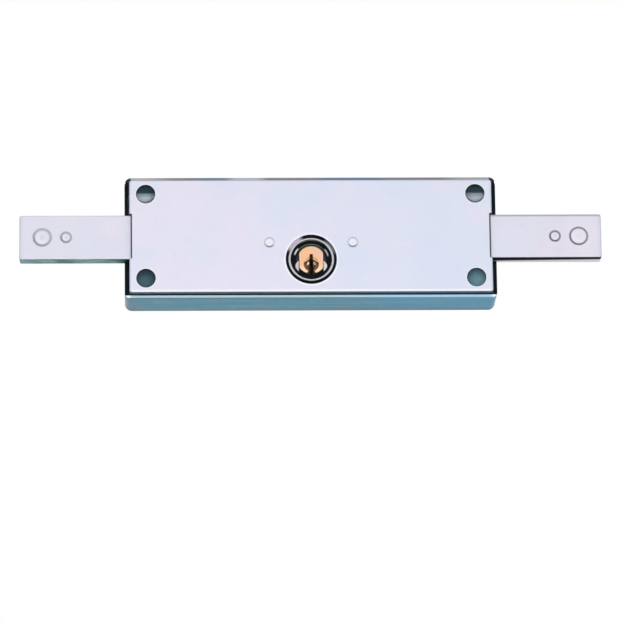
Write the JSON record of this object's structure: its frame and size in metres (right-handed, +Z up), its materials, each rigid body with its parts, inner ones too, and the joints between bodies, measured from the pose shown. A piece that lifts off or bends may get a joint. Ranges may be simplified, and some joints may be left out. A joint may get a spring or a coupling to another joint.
{
  "type": "roller shutter lock",
  "caption": "Flat steel lock for a roller shutter, with a key cylinder in the front and a flat bolt that slides out of each end.",
  "frame": {"origin": "centre of the case's back face, in the middle of the four fixing holes", "axes": "+X along the bolts towards the right bolt as seen from the front, -Y out of the front face, +Z up as the lock is mounted"},
  "size_m": [0.247, 0.0255, 0.0534],
  "materials": {
    "zinc_plated_sheet": "bright zinc plate on bent sheet",
    "plated_cover": "bright satin plate",
    "plated_bolt": "bright satin plate",
    "plated_pins": "flush riveted ends, satin plate",
    "steel_pins": "turned steel",
    "clamp_steel": "pressed steel",
    "nickel": "polished nickel plate",
    "brass_strip": "rolled brass",
    "pin_brass": "turned brass",
    "spring_steel": "spring steel",
    "cast_zinc": "die-cast zinc alloy, matt",
    "plug_brass": "machined brass",
    "gear_steel": "hobbed steel"
  },
  "bodies": {
    "lock_body": {"case": "zinc_plated_sheet", "cover_plate": "plated_cover", "cover_posts": "plated_pins", "guide_pins": "steel_pins", "cylinder_clamp": "clamp_steel", "cylinder_body": "nickel", "chamber_strip": "brass_strip", "driver_pins": "pin_brass", "pin_springs": "spring_steel"},
    "left_slider": {"left_bolt": "plated_bolt", "left_large_pin": "plated_pins", "left_small_pin": "plated_pins", "left_carriage": "cast_zinc", "left_carriage_rivets": "steel_pins"},
    "right_slider": {"right_bolt": "plated_bolt", "right_large_pin": "plated_pins", "right_small_pin": "plated_pins", "right_carriage": "cast_zinc", "right_carriage_rivets": "steel_pins"},
    "rotor": {"plug": "plug_brass", "plug_clip": "spring_steel", "key_pins": "pin_brass", "drive_pinion": "gear_steel"}
  },
  "joints": [
    {"name": "plug_turn", "type": "hinge", "parent": "lock_body", "child": "rotor", "pos_m": [0, -0.025, -0.0104], "axis": [0, 1, 0], "range_deg": [0, 360]},
    {"name": "left_bolt_slide", "type": "slide", "parent": "lock_body", "child": "left_slider", "axis": [1, 0, 0], "range_m": [0, 0.0201]},
    {"name": "right_bolt_slide", "type": "slide", "parent": "lock_body", "child": "right_slider", "axis": [-1, 0, 0], "range_m": [0, 0.0201]}
  ],
  "couplings": [
    {"joint": "plug_turn", "follows": "left_bolt_slide", "rad_per_m": 312.5},
    {"joint": "right_bolt_slide", "follows": "left_bolt_slide", "ratio": 1}
  ]
}
